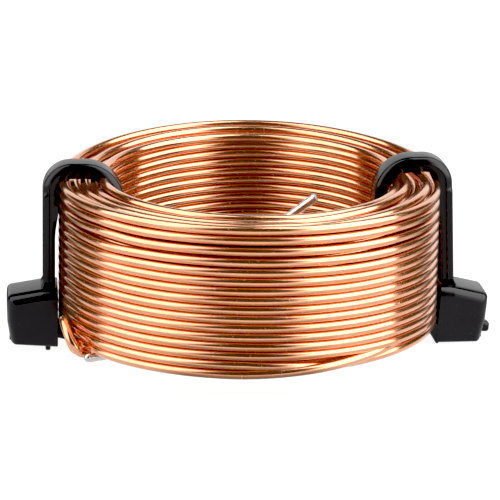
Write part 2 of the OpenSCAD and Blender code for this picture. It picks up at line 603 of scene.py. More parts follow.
def new_finish(name: str) -> tuple[bpy.types.Material, Graph, bpy.types.Node, bpy.types.NodeSocket]:
    """Starts a material: the material, its graph, its Principled BSDF and Object coordinates."""
    material, g, principled = new_shader(name, "ShaderNodeBsdfPrincipled")
    return material, g, principled, g.node("ShaderNodeTexCoord").outputs["Object"]


@dataclass(frozen=True)
class EnamelledCopper:
    """Copper wire under a thin clear enamel.

    Attributes:
        clear: Colour where the enamel is thin.
        amber: Colour where the enamel is thick.
        dust: Colour of what has settled on it.
        roughness: Lowest and highest roughness of the wire.
        coat: Least and most weight of the enamel's gloss.
        coat_roughness: Roughness of that gloss.
        coat_ior: Index of refraction of the enamel.
        relief: Depth of the die lines, in millimetres.
    """

    clear: tuple[float, float, float, float] = (0.93, 0.48, 0.275, 1)
    amber: tuple[float, float, float, float] = (0.85, 0.36, 0.175, 1)
    dust: tuple[float, float, float, float] = (1.0, 0.82, 0.66, 1)
    roughness: tuple[float, float] = (0.13, 0.22)
    coat: tuple[float, float] = (0.75, 1.0)
    coat_roughness: float = 0.08
    coat_ior: float = 1.68
    relief: float = 0.0025

    def make(self, groups: Groups) -> bpy.types.Material:
        """The material."""
        material, g, principled, place = new_finish("Enamelled copper")
        drawn = g.place_group(groups.streaks, Place=place)
        streaks, blotches = drawn["Streaks"], drawn["Blotches"]
        settled = g.place_group(
            groups.dust, Place=place, Specks_per_mm=3.2, Size=0.22, Thin_out=0.46
        )["Dust"]
        shade = g.mix(g.span(blotches, 0.3, 0.7), self.clear, self.amber)
        lined = g.mix(g.span(streaks, 0.35, 0.75, 0.0, 0.35), shade, self.amber)
        g.feed(principled.inputs["Base Color"], g.mix(settled, lined, self.dust))
        principled.inputs["Metallic"].default_value = 0.9
        rough = g.span(streaks, 0.3, 0.75, *self.roughness)
        dusty = g.math("ADD", rough, g.math("MULTIPLY", settled, 0.25))
        g.feed(principled.inputs["Roughness"], dusty)
        g.feed(principled.inputs["Coat Weight"], g.span(blotches, 0.3, 0.7, *self.coat))
        principled.inputs["Coat Roughness"].default_value = self.coat_roughness
        principled.inputs["Coat IOR"].default_value = self.coat_ior
        relief = g.math("ADD", streaks, g.math("MULTIPLY", settled, 2.0))
        g.bump(principled, relief, 0.5, self.relief)
        return material


@dataclass(frozen=True)
class SolderTin:
    """Bright solder on a stripped end, uneven, with a little flux left in its hollows.

    Attributes:
        bright: Colour of the solder.
        flux: Colour in the hollows.
        roughness: Lowest and highest roughness.
        relief: Depth of the grain, in millimetres.
    """

    bright: tuple[float, float, float, float] = (0.68, 0.65, 0.62, 1)
    flux: tuple[float, float, float, float] = (0.42, 0.33, 0.26, 1)
    roughness: tuple[float, float] = (0.12, 0.3)
    relief: float = 0.12

    def make(self, groups: Groups) -> bpy.types.Material:
        """The material."""
        material, g, principled, place = new_finish("Solder tin")
        grain = g.place_group(
            groups.grain, Place=place, Grains_per_mm=5.0, Waves_per_mm=1.1, Wave_share=0.75
        )
        settled = g.place_group(
            groups.dust, Place=place, Specks_per_mm=1.6, Size=0.3, Thin_out=0.52
        )["Dust"]
        hollow = g.span(grain["Waves"], 0.42, 0.3)
        shade = g.mix(g.math("MULTIPLY", hollow, 0.45), self.bright, self.flux)
        specks = g.math("MULTIPLY", settled, 0.8)
        g.feed(principled.inputs["Base Color"], g.mix(specks, shade, self.flux))
        principled.inputs["Metallic"].default_value = 1.0
        rough = g.span(grain["Height"], 0.3, 0.7, *self.roughness)
        g.feed(principled.inputs["Roughness"], rough)
        g.bump(principled, grain["Height"], 0.6, self.relief)
        return material


@dataclass(frozen=True)
class BlackNylon:
    """Moulded black nylon with a soft gloss, fine scuffs and a little pale dust.

    Attributes:
        base: Colour of the nylon.
        worn: Colour where it is scuffed.
        dust: Colour of what has settled on it.
        roughness: Lowest and highest roughness.
        ior: Index of refraction.
        relief: Depth of the grain, in millimetres.
    """

    base: tuple[float, float, float, float] = (0.0125, 0.0115, 0.0135, 1)
    worn: tuple[float, float, float, float] = (0.017, 0.0158, 0.018, 1)
    dust: tuple[float, float, float, float] = (0.30, 0.29, 0.28, 1)
    roughness: tuple[float, float] = (0.13, 0.24)
    ior: float = 1.52
    relief: float = 0.02

    def make(self, groups: Groups) -> bpy.types.Material:
        """The material."""
        material, g, principled, place = new_finish("Black nylon")
        grain = g.place_group(
            groups.grain, Place=place, Grains_per_mm=9.0, Waves_per_mm=0.35, Wave_share=0.6
        )
        settled = g.place_group(
            groups.dust, Place=place, Specks_per_mm=2.2, Size=0.13, Thin_out=0.53
        )["Dust"]
        shade = g.mix(g.span(grain["Waves"], 0.35, 0.7, 0.0, 0.6), self.base, self.worn)
        specks = g.math("MULTIPLY", settled, 0.5)
        g.feed(principled.inputs["Base Color"], g.mix(specks, shade, self.dust))
        rough = g.span(grain["Height"], 0.35, 0.65, *self.roughness)
        dusty = g.math("ADD", rough, g.math("MULTIPLY", settled, 0.3))
        g.feed(principled.inputs["Roughness"], dusty)
        principled.inputs["IOR"].default_value = self.ior
        relief = g.math("ADD", grain["Height"], g.math("MULTIPLY", settled, 0.6))
        g.bump(principled, relief, 0.35, self.relief)
        return material


# ---------------------------------------------------------------- the winding


Station = tuple[float, float, float]


def pressed(angle: float, middle: float) -> float:
    """1 in a direction and in its opposite, falling evenly to 0 halfway between them."""
    return math.cos(math.radians(angle - middle)) ** 2


@dataclass(frozen=True)
class Leads:
    """Where the wire's two ends lie. Each place is a distance from the axis and a direction.

    Attributes:
        under: Height of the wire's middle where a lead crosses under the winding.
        start_tip: Free end of the start.
        start_bend: Where the start turns up into the winding.
        end_tip: Free end of the end, with its height.
        end_bend: Where the end turns up across the bore.
        end_turn: How far above that bend the tinned end aims.
        tinned: Length that is stripped and tinned.
    """

    under: float = 2.13
    start_tip: tuple[float, float] = (22.9, 211.4)
    start_bend: tuple[float, float] = (17.48, 214.0)
    end_tip: tuple[float, float, float] = (13.3, 300.3, 21.15)
    end_bend: tuple[float, float] = (15.2, 204.5)
    end_turn: float = 1.5
    tinned: float = 4.8

    def tinned_start(self) -> tuple[Vector, Vector]:
        """The start's tin: where it begins on the wire, and its free end."""
        tip = polar(*self.start_tip, self.under)
        aim = polar(*self.start_bend, self.under)
        return tip + (aim - tip).normalized() * self.tinned, tip

    def tinned_end(self) -> tuple[Vector, Vector]:
        """The end's tin: where it begins on the wire, and its free end."""
        tip = polar(*self.end_tip)
        aim = polar(*self.end_bend, self.under + self.end_turn)
        return tip + (aim - tip).normalized() * self.tinned, tip


@dataclass(frozen=True)
class Rows:
    """How the rows of a layer lie one above another, counted down from its first full row.

    Attributes:
        count: Rows below the first.
        lowest: Height of the lowest row.
        pitch: Height from one row to the next.
        looser: How much higher the first row lies, because the top rows are looser.
    """

    count: float
    lowest: float
    pitch: float
    looser: float

    def height(self, down: float) -> float:
        """Height that many rows down."""
        top_rows = 4
        rise = self.looser * smoothstep((top_rows - down) / top_rows)
        return self.lowest + (self.count - down) * self.pitch + rise


@dataclass(frozen=True)
class FillingLayer:
    """A layer between two others, with evenly spaced turns that are wound downward.

    Attributes:
        number: Which layer it is, from the bore.
        turns: How many turns it has.
        top: Height of its first turn.
        low: Height of its last turn.
    """

    number: int
    turns: int
    top: float
    low: float


@dataclass
class Winding:
    """The wire: five layers of turns, one over another, and its two leads.

    It starts under the inner layer, winds clockwise up and down through the layers, and
    ends at the top of the outer one. From there it drops down outside, runs round under
    the back to the left tie, and crosses under the winding up into the bore. Turns are
    counted down from the top of a layer, and heights in a layer are above the lift.

    Attributes:
        leads: Where its two ends lie.
        wire_d: Diameter over the enamel.
        lift: Clear height under the winding.
        radii: Distance of each layer's wire from the axis.
        rising_top: Direction of the top end of a layer that is wound upward.
        falling_top: Direction of the top end of a layer that is wound downward.
        first_row: Turns from the top end of the third and fifth layers to their first full row.
        tie_line: Direction of the line between the ties, which press the turns down.
        inner_turns: Turns in the first layer.
        middle_turns: Turns in the third layer.
        outer_turns: Turns in the fifth layer at its start and at its end.
        middle_rows: Rows of the third layer.
        outer_rows: Rows of the fifth layer.
        fillings: The second and the fourth layer.
        steps: Points in each turn.
        lead_step: Distance between points on a lead.
        start_reach: How far from a corner of the start lead its bend begins.
        end_reach: How far from a corner of the end lead its bend begins.
        seed: Seed of the small unevenness.
        waves: Turns round, turns down, phase and size of each slow wave of unevenness.
    """

    leads: Leads = Leads()
    wire_d: float = 1.08
    lift: float = 2.75
    radii: tuple[float, ...] = (17.2, 18.34, 19.48, 20.63, 21.77)
    rising_top: float = 10.0
    falling_top: float = -12.0
    first_row: float = 0.711
    tie_line: float = 2.0
    inner_turns: float = 15.57
    middle_turns: float = 15.86
    outer_turns: tuple[float, float] = (15.939, 0.028)
    middle_rows: Rows = Rows(15.19, 0.65, 1.06, 0.5)
    outer_rows: Rows = Rows(15, 0.64, 1.086, 0.56)
    fillings: tuple[FillingLayer, FillingLayer] = (
        FillingLayer(2, 15, 17.4, 1.05), FillingLayer(4, 14, 17.3, 1.6)
    )
    steps: int = 96
    lead_step: float = 0.25
    start_reach: float = 1.1
    end_reach: float = 1.5
    seed: int = 7
    waves: list[tuple[float, float, float, float]] = field(default_factory=list)

    def __post_init__(self) -> None:
        """Draws the slow waves that keep the turns from being perfect."""
        chance = random.Random(self.seed)
        for around, down in ((1, 0.5), (2, 0.7), (3, 0.9), (5, -0.8), (7, 1.1), (11, -1.3)):
            self.waves.append((around, down, chance.uniform(0, math.tau), chance.uniform(0.6, 1)))

    def _unevenness(self, angle: float, row: float) -> float:
        """Small departure of a turn from its place, the same way for its neighbours."""
        a = math.radians(angle)
        swing = 0.022
        return sum(
            swing * size / math.sqrt(around) * math.sin(around * a + down * row + phase)
            for around, down, phase, size in self.waves
        )

    def _rising(self, turns: float) -> float:
        """Direction, that many turns down in a layer that is wound upward."""
        return self.rising_top + TURN * turns

    def _falling(self, turns: float) -> float:
        """Direction, that many turns down in a layer that is wound downward."""
        return self.falling_top - TURN * turns

    def _inner_layer(self, turns: float) -> tuple[float, float]:
        """Radius and height in the bore's layer, that many turns down from its top."""
        angle = self._rising(turns)
        first_turn = (
            (0.0, 17.75), (0.24, 17.55), (0.47, 17.5), (0.71, 17.42), (0.95, 17.0), (1.24, 16.66),
            (1.5, 16.19),
        )
        settled, height_there, pitch = 1.24, 16.75, 1.083
        sag, lowest_at = 0.35, 155.0
        if turns < settled:
            height = through(first_turn, turns)[0]
        else:
            height = height_there - pitch * (turns - settled) - sag * pressed(angle, lowest_at)
        return self.radii[0], height + self._unevenness(angle, turns)

    def _middle_layer(self, turns: float) -> tuple[float, float]:
        """Radius and height in the third layer, that many turns down from its top."""
        angle = self._rising(turns)
        down = turns - self.first_row
        sag, sag_row, sag_rows = 0.5, 13, 8
        first_tilt, highest_at = 0.15, 90
        height = self.middle_rows.height(down)
        height -= sag * pressed(angle, self.tie_line) * smoothstep((sag_row - down) / sag_rows)
        height += first_tilt * math.cos(math.radians(angle - highest_at)) * smoothstep(1 - down)
        return self.radii[2], height + self._unevenness(angle, down)

    def _filling_layer(self, layer: FillingLayer, turns: float) -> tuple[float, float]:
        """Radius and height in the second or fourth layer, after so many turns from its top."""
        height = layer.top - (layer.top - layer.low) * turns / layer.turns
        return self.radii[layer.number - 1], height + self._unevenness(self._falling(turns), turns)

    def _outer_layer(self, turns: float) -> tuple[float, float]:
        """Radius and height in the outer layer, that many turns down from its top."""
        angle = self._rising(turns)
        down = turns - self.first_row
        last_even_row = 14
        if down > last_even_row:
            radius, height = through(self._last_turns(), turns)
            return radius, height
        sag, fade_rows = 0.65, 0.6
        height = self.outer_rows.height(down) - sag * pressed(angle, self.tie_line)
        gap_at, gap_half_width, gap_row, gap_fade, parted = 218, 17, 2.5, 1.6, 0.17
        round_gap = hump(angle % TURN, gap_at, gap_half_width)
        loose = round_gap * math.exp(-abs(down - gap_row) / gap_fade)
        height += parted * loose * (1 if down < gap_row else -1)
        fade = smoothstep((last_even_row - down) / fade_rows)
        return self.radii[4], height + self._unevenness(angle, down) * fade

    def _last_turns(self) -> list[Station]:
        """Turns down, radius and height where the outer layer starts, beside its last row."""
        lower = (
            (266, 21.77, 1.70), (280, 21.6, 1.45), (290, 21.35, 1.15), (298, 21.3, 1.0),
            (306, 21.45, 1.05), (314, 21.65, 1.12), (330, 21.72, 1.1), (350, 21.77, 1.0),
        )
        lowest = (
            (10, 21.77, 0.85), (50, 21.77, 0.97), (90, 21.77, 1.13), (135, 21.77, 0.7),
            (180, 21.77, 0.30), (221, 21.77, 0.41), (229, 21.77, 0.45), (240, 21.77, 0.53),
            (252, 21.77, 0.59), (266, 21.77, 0.64), (280, 21.9, 0.9), (291, 22.1, 1.22),
            (301, 22.0, 1.53), (310, 21.7, 1.75), (318, 21.4, 1.8), (330, 21.15, 1.75),
            (348, 20.75, 1.6),
        )
        return [
            (turn + (angle - self.rising_top) / TURN, radius, height)
            for turn, stations in ((14, lower), (15, lowest))
            for angle, radius, height in stations
        ]

    def _layer_line(
        self,
        start: float,
        end: float,
        direction: Callable[[float], float],
        place: Callable[[float], tuple[float, float]],
    ) -> list[Station]:
        """Follows the wire along a layer.

        Args:
            start: Turns down where the wire comes into the layer.
            end: Turns down where it leaves it.
            direction: Direction at a number of turns down.
            place: Radius and height at a number of turns down.

        Returns:
            Direction, radius and height of its points, clockwise.
        """
        count = max(2, round(abs(end - start) * self.steps))
        turns = [start + (end - start) * i / count for i in range(count + 1)]
        return [(direction(t), *place(t)) for t in turns]

    def _stepped_in(self, last: Station, line: list[Station], span: float = 22.0) -> list[Station]:
        """Puts the step from the layer before in front of a layer's line.

        Args:
            last: Where the wire leaves the layer before.
            line: The layer's line.
            span: Degrees that the step takes.

        Returns:
            The line with the step.
        """
        angle, radius, height = line[0]
        count = max(4, round(span / TURN * self.steps))
        step = []
        for i in range(count):
            t = i / count
            ease = smoothstep(t)
            step.append(
                (
                    angle + span * (1 - t),
                    last[1] + (radius - last[1]) * ease,
                    last[2] + (height - last[2]) * ease,
                )
            )
        return step + line

    def layer_lines(self) -> dict[str, list[Vector]]:
        """The middle of the wire in each layer, in the order of winding."""
        second, fourth = (
            self._layer_line(
                0.0, layer.turns, self._falling, lambda t, layer=layer: self._filling_layer(layer, t)
            )
            for layer in self.fillings
        )
        first = self._layer_line(self.inner_turns, 0.0, self._rising, self._inner_layer)
        third = self._layer_line(self.middle_turns, 0.0, self._rising, self._middle_layer)
        fifth = self._layer_line(*self.outer_turns, self._rising, self._outer_layer)
        made = {
            "layer_1": first,
            "layer_2": self._stepped_in(first[-1], second),
            "layer_3": self._stepped_in(second[-1], third, span=28.0),
            "layer_4": self._stepped_in(third[-1], fourth),
            "layer_5": fifth,
        }
        return {name: [polar(r, a, z + self.lift) for a, r, z in line] for name, line in made.items()}

    def start_lead_line(self) -> list[Vector]:
        """The lead from the tinned start, in under the winding and up into the bore's layer."""
        joint, _ = self.leads.tinned_start()
        radius, height = self._inner_layer(self.inner_turns)
        corners = [
            joint,
            polar(*self.leads.start_bend, self.leads.under),
            polar(17.3, 215.6, self.lift + 0.5),
            polar(radius, self._rising(self.inner_turns), height + self.lift),
        ]
        return spaced(bent(corners, self.start_reach), self.lead_step)

    def end_lead_line(self) -> list[Vector]:
        """The lead from the top of the outer layer to the tinned end in the bore."""
        last_turn = self.outer_turns[1]
        radius, top = self._outer_layer(last_turn)
        drop = [
            (radius, self._rising(last_turn), top), (21.85, 17.6, top + 0.02),
            (22.8, 15.6, top - 0.3), (22.97, 15.0, top - 2.0), (22.97, 15.0, 1.6),
            (22.97, 16.6, 0.3), (22.9, 21.0, -0.3), (22.5, 30.0, -0.5), (21.9, 42.0, -0.3),
        ]
        low, rise, highest_at, spread = -0.5, 0.52, 84, 1.6
        round_the_back = [
            (21.7, angle, low + rise * math.cos(math.radians(spread * (angle - highest_at))))
            for angle in range(55, 150, 12)
        ]
        past_left_tie = [
            (21.4, 158, -0.5), (20.9, 168, -0.5), (20.65, 176, -0.5), (20.75, 183, -0.6),
            (20.9, 190, -0.82), (21.3, 197, -0.87), (21.7, 202, -0.86),
        ]
        hook = [
            (22.5, 204, -0.55), (22.92, 203.6, 0.3), (22.95, 202, 1.0), (22.95, 200, 1.6),
            (22.95, 198.6, 2.1), (23.15, 199.2, 2.65), (23.45, 200.84, 2.84), (23.6, 202.6, 2.58),
            (23.75, 205.2, 2.0), (23.75, 207.0, 1.3), (23.45, 208.2, 0.55), (22.95, 208.4, -0.15),
            (22.0, 208.1, -0.66),
        ]
        joint, _ = self.leads.tinned_end()
        corners = [
            *(polar(r, a, z + self.lift) for r, a, z in drop + round_the_back + past_left_tie + hook),
            polar(*self.leads.end_bend, self.leads.under),
            joint,
        ]
        return spaced(bent(corners, self.end_reach), self.lead_step)

    def build(self, copper: bpy.types.Material) -> None:
        """Builds the layers and the leads, each a piece of its own."""
        wire = RoundWire(self.wire_d)
        run = 0.0
        lines = {
            "start_lead": self.start_lead_line(),
            **self.layer_lines(),
            "end_lead": self.end_lead_line(),
        }
        for name, line in lines.items():
            piece = wire.build(name, line)
            run += distances(line)[-1]
            piece.data.materials.append(copper)
            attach(piece, "root")
            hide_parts("winding")
            log.info("%s: %d faces, wire so far %.0f mm", name, len(piece.data.polygons), run)


@dataclass
class LeadTip:
    """A stripped and tinned end of the wire.

    Attributes:
        name: The piece's name.
        node: The node that it stands for.
        start: Where the tin starts.
        end: The free end.
        ending: Shape of the free end.
        diameter: Diameter over the tin.
        step: Distance between points along it.
        sway: How far the tin strays from a straight line, up and down.
    """

    name: str
    node: str
    start: Vector
    end: Vector
    ending: Ending
    diameter: float = 1.04
    step: float = 0.12
    sway: float = 0.012

    @staticmethod
    def _lumps(run: float) -> float:
        """Uneven thickness of the tin at a distance along it."""
        return 1 + 0.02 * math.sin(run * 2.1) + 0.014 * math.sin(run * 5.3 + 1)

    def build(self, tin: bpy.types.Material) -> None:
        """Builds the tinned end."""
        line = spaced([self.start, self.end], self.step)
        for i, p in enumerate(line[1:-1]):
            p.z += self.sway * math.sin(i * 0.55)
        wire = RoundWire(self.diameter, sides=20)
        piece = wire.build(self.name, line, end=self.ending, thickness=self._lumps)
        piece.data.materials.append(tin)
        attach(piece, "root")
        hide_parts(self.node)
        log.info("%s: %d faces", self.name, len(piece.data.polygons))


# ---------------------------------------------------------------- the cable ties


@dataclass
class CableTie:
    """A cable tie round the winding: its strap with a toothed inner side, and its head.

    The strap and the head are shaped on +X and turned to the tie's direction. The head has
    directions of its own, out from the winding and up, that lean with it.

    Attributes:
        side: Name of the tie's side, for its pieces and its node.
        angle: Its direction.
        foot: Distance from the axis and height of the head's inner bottom edge.
        tilt: Lean of the head, outward.
        lean: Lean of the outer leg of the strap.
        extra: Added height of the strap's top.
        under_z: Height of the strap's middle under the winding.
        has_tail: Whether a torn stub of tail stands out of the slot.
        width: Width of the strap.
        thickness: Thickness of the strap.
        body_t: Thickness of its body, between the rails.
        rail_w: Width of a rail.
        rails_across: Distance between the outer sides of the rails.
        rail_extra: How much deeper than the plain strap the rails are everywhere.
        shoulder_extra: How much deeper again they are on the winding's shoulder.
        root_flare: How much the strap widens where it grows out of the head.
        tooth_pitch: Distance from one tooth to the next.
        top_draw: How much the strap's outer side draws in on each side over the top.
        lift: Clear height under the winding.
        rise: Height of the strap's top above the lift.
        mid_r: Distance from the axis to the middle of the outer leg.
        bore_r: Distance from the axis to the middle of the leg in the bore.
        dip_r: Distance from the axis at which the strap turns towards the slot.
        outer_bend: Bend of the strap's middle at the winding's shoulder.
        bore_bend: The bend at the top of the bore.
        foot_bend: The bend at the bottom of the bore.
        dip_bend: The bend at dip_r.
        slot_bend: The bend where the strap enters the slot.
        head_w: Width of the head.
        head_depth: Depth of the head, out from the winding.
        head_round: How much of each half of its width is rounded off.
        head_drop: How far the rounding draws the outline in.
        slot_w: Width of the slot.
        slot_h: Height of the slot.
        slot_v: Height of the slot's middle above the foot.
        ramp_half: Half the width of the ramp that leads the strap in.
        pawl_half: Half the width of the locking pawl.
    """

    side: str
    angle: float
    foot: tuple[float, float]
    tilt: float = 0.0
    lean: float = 0.0
    extra: float = 0.0
    under_z: float = 2.07
    has_tail: bool = False

    width: float = 3.6
    thickness: float = 1.25
    body_t: float = 0.82
    rail_w: float = 0.5
    rails_across: float = 3.12
    rail_extra: float = 0.2
    shoulder_extra: float = 0.5
    root_flare: float = 0.28
    tooth_pitch: float = 0.9
    top_draw: float = 0.3
    lift: float = 2.75
    rise: float = 19.5
    mid_r: float = 23.525
    bore_r: float = 15.225
    dip_r: float = 19.6
    outer_bend: float = 2.7
    bore_bend: float = 4.0
    foot_bend: float = 1.6
    dip_bend: float = 4.0
    slot_bend: float = 3.0
    head_w: float = 6.6
    head_depth: float = 5.9
    head_round: float = 1.5
    head_drop: float = 1.15
    slot_w: float = 4.1
    slot_h: float = 1.65
    slot_v: float = 1.6
    ramp_half: float = 3.27
    pawl_half: float = 1.3

    def _head_point(self, out: float, up: float) -> Vector:
        """Distance from the axis and height of a point given in the head's own directions."""
        a = math.radians(-self.tilt)
        return Vector(
            (
                self.foot[0] + out * math.cos(a) - up * math.sin(a),
                0.0,
                self.foot[1] + out * math.sin(a) + up * math.cos(a),
            )
        )

    def _strap_line(self) -> list[Vector]:
        """The strap's middle: up outside, over the top, down the bore and into the head."""
        top = self.lift + self.rise + self.extra - self.thickness / 2
        root, upright = self.lift + 3, self.lift + 9.7
        slot_in, slot_out = 0.55, self.head_depth - 0.3
        lean = math.tan(math.radians(self.lean))
        corners = [
            (Vector((self.mid_r + (upright - root) * lean, 0, root)), 0.0),
            (Vector((self.mid_r + (upright - top) * lean, 0, top)), self.outer_bend),
            (Vector((self.bore_r, 0, top)), self.bore_bend),
            (Vector((self.bore_r, 0, self.under_z)), self.foot_bend),
            (Vector((self.dip_r, 0, self.under_z)), self.dip_bend),
            (self._head_point(slot_in, self.slot_v), self.slot_bend),
            (self._head_point(slot_out, self.slot_v), 0.0),
        ]
        line = [corners[0][0]]
        for (before, _), (corner, bend), (after, _) in zip(corners, corners[1:], corners[2:]):
            line += rounded_corner(before, corner, after, bend)
        return line + [corners[-1][0]]

    @staticmethod
    def _frames(line: Sequence[Vector]) -> list[tuple[Vector, Vector]]:
        """Direction along the strap and its outward side at each point of its line."""
        frames = []
        last = len(line) - 1
        for i in range(last + 1):
            along = (line[min(i + 1, last)] - line[max(i - 1, 0)]).normalized()
            frames.append((along, Vector((along.z, 0, -along.x))))
        return frames

    def _section(self, narrowing: float, flare: float, depth: float) -> list[tuple[float, float]]:
        """Outline of the strap: across, and out from its middle.

        Args:
            narrowing: How much narrower the outer side is, on each side.
            flare: How much it has widened, where it grows out of the head.
            depth: How much deeper than the plain strap its rails are.

        Returns:
            The outline's points.
        """
        half, back = self.width / 2 + flare, self.thickness / 2 + flare
        seat = self.thickness / 2 - self.body_t
        rail = self.rails_across / 2 + flare
        face = -self.thickness / 2 - depth
        side = [
            (0.0, back),
            (half * 0.6 - narrowing * 0.5, back - 0.012),
            (half - 0.24 - narrowing, back - 0.04),
            (half - 0.10 - narrowing, back - 0.1),
            (half - 0.02 - narrowing * 0.84, back - 0.2),
            (half - narrowing * 0.1, seat + 0.12),
            (half - 0.02, seat + 0.05),
            (half - 0.08, seat),
            (rail, seat),
            (rail - 0.015, face + 0.1),
            (rail - 0.07, face),
            (rail - self.rail_w + 0.05, face),
            (rail - self.rail_w, face + 0.1),
            (rail - self.rail_w, seat - 0.02),
            (0.0, seat - 0.02),
        ]
        mirrored = [(-x, y) for x, y in side[-2:0:-1]]
        return side + mirrored

    def _strap(self) -> bmesh.types.BMesh:
        """Sweeps the strap: each stretch is extruded and turned on to the next place."""
        line = self._dense(self._strap_line())
        frames = self._frames(line)
        bm = bmesh.new()

        def places(i: int) -> list[Vector]:
            _, out = frames[i]
            p = line[i]
            section = self._section(self._narrowing(p), self._flare(p), self._rail_depth(p))
            return [p + Vector((0, x, 0)) + out * y for x, y in section]

        face = outline_face(bm, places(0))
        for i in range(1, len(line)):
            grown = bmesh.ops.extrude_face_region(bm, geom=[face])
            new_face = next(g for g in grown["geom"] if isinstance(g, bmesh.types.BMFace))
            if i > 1:
                bmesh.ops.delete(bm, geom=[face], context="FACES_ONLY")
            for vert, p in zip(self._ordered(new_face, places(i - 1)), places(i)):
                vert.co = p
            face = new_face
        return bm

    @staticmethod
    def _ordered(
        face: bmesh.types.BMFace, places: Sequence[Vector]
    ) -> list[bmesh.types.BMVert]:
        """The face's vertices in the order of these places, which they lie on."""
        verts = list(face.verts)
        first = min(range(len(verts)), key=lambda n: (verts[n].co - places[0]).length_squared)
        ahead = verts[(first + 1) % len(verts)]
        way = 1 if (ahead.co - places[1]).length < 1e-6 else -1
        return [verts[(first + way * n) % len(verts)] for n in range(len(verts))]

    @staticmethod
    def _dense(line: list[Vector], step: float = 0.3) -> list[Vector]:
        """The line with its long stretches divided."""
        made = [line[0]]
        for a, b in zip(line, line[1:]):
            if (b - a).length < 1e-4:
                continue
            count = max(1, round((b - a).length / step))
            made += [a.lerp(b, n / count) for n in range(1, count + 1)]
        return made

    def _narrowing(self, p: Vector) -> float:
        """How much the strap's outer side draws in: only where it is bent over the top."""
        up = p.z - self.lift
        outer_from, top_from, bore_from = 15.6, 17.5, 12.0
        outside, in_bore = p.x > 19, p.x < 17
        if outside and up > outer_from:
            return self.top_draw * smoothstep((up - outer_from) / 0.5)
        if up > top_from:
            return self.top_draw
        return self.top_draw * smoothstep((up - bore_from) / 5) if in_bore else 0.0

    def _flare(self, p: Vector) -> float:
        """How much the strap has widened: only where it grows out of the head."""
        top_of_head, flare_h = self._head_point(1.2, 7.1).z, 0.6
        outside = p.x > 22.8
        clear = min(1.0, max(0.0, p.z - top_of_head) / flare_h)
        return self.root_flare * (1 - clear) ** 2 if outside else 0.0

    def _rail_depth(self, p: Vector) -> float:
        """How much deeper the rails are here: most on the winding's shoulder and over its rim."""
        up = p.z - self.lift
        outside = p.x > 21.5
        on_shoulder = smoothstep((up - 10.5) / 4.5)
        over_rim = 0.6 * smoothstep((up - 15.5) / 3)
        return self.rail_extra + self.shoulder_extra * (on_shoulder if outside else over_rim)

    def _teeth(self) -> bmesh.types.BMesh:
        """The ladder of teeth between the strap's rails."""
        line = spaced(self._strap_line(), self.tooth_pitch)
        frames = self._frames(line)
        across = Vector((0, 1, 0))
        inner_w = self.rails_across - 2 * self.rail_w + 0.1
        seat = self.thickness / 2 - self.body_t
        size, crest_share, rake, sunk = 0.5, 0.35, 0.1, 0.22
        first, bare_end = 3, 4
        bm = bmesh.new()
        for i in range(first, len(line) - bare_end):
            along, out = frames[i]
            turned = Matrix((along, across, out)).transposed().to_4x4()
            tooth = bmesh.ops.create_cube(bm, size=1.0)["verts"]
            bmesh.ops.scale(bm, vec=(size, inner_w, size), verts=tooth)
            crest = [v for v in tooth if v.co.z < 0]
            bmesh.ops.scale(bm, vec=(crest_share, 1, 1), verts=crest)
            bmesh.ops.translate(bm, vec=(rake, 0, 0), verts=crest)
            bmesh.ops.translate(bm, vec=(0, 0, seat - sunk), verts=tooth)
            bmesh.ops.transform(bm, matrix=Matrix.Translation(line[i]) @ turned, verts=tooth)
        return bm

    def _head_outline(self) -> list[tuple[float, float, float]]:
        """Side view of the head: out, up and rounding."""
        return [
            (-0.05, 0, 0.35), (5.45, 0.381, 0.75), (5.85, 3.024, 2), (5.9, 5.04, 2),
            (5.85, 6.336, 0.6), (1.75, 7.05, 1), (-0.08, 7.2, 0.4),
        ]

    def _head_slice(self, inset: float) -> list[Vector]:
        """The head's side outline, drawn in by this much, but not on the winding's side."""
        outline = self._head_outline()
        corners = [Vector((x, y)) for x, y, _ in outline]
        low_extra, least_rounding = 0.62, 0.12
        drawn = []
        for i, (x, y, rounding) in enumerate(outline):
            into = (corners[i - 1] - corners[i]).normalized()
            out = (corners[(i + 1) % len(corners)] - corners[i]).normalized()
            half = into.angle(out) / 2
            inner = corners[i] + (into + out).normalized() * inset / math.sin(half)
            if x < 0.2:
                inner.x = x
            if y < 1:
                inner.y -= low_extra * inset
            drawn.append((inner.x, inner.y, max(least_rounding, rounding - inset)))
        return rounded_outline(drawn)

    def _head(self) -> bmesh.types.BMesh:
        """The head's block: outlines set side by side and bridged, rounded on both sides."""
        bm = bmesh.new()
        steps = 7
        half, bow = self.head_w / 2, self.head_round
        arc = [math.pi / 2 * n / steps for n in range(steps + 1)]
        near_side = [
            (-half + bow * (1 - math.cos(a)), self.head_drop * (1 - math.sin(a))) for a in arc
        ]
        far_side = [(-y, inset) for y, inset in reversed(near_side)]
        loops = []
        for y, inset in near_side + far_side:
            verts = [bm.verts.new((p.x, y, p.y)) for p in self._head_slice(inset)]
            loops.append([bm.edges.new(pair) for pair in zip(verts, verts[1:] + verts[:1])])
        for near, far in zip(loops, loops[1:]):
            bmesh.ops.bridge_loops(bm, edges=near + far)
        bmesh.ops.holes_fill(bm, edges=loops[0] + loops[-1], sides=0)
        bmesh.ops.recalc_face_normals(bm, faces=bm.faces)
        return bm

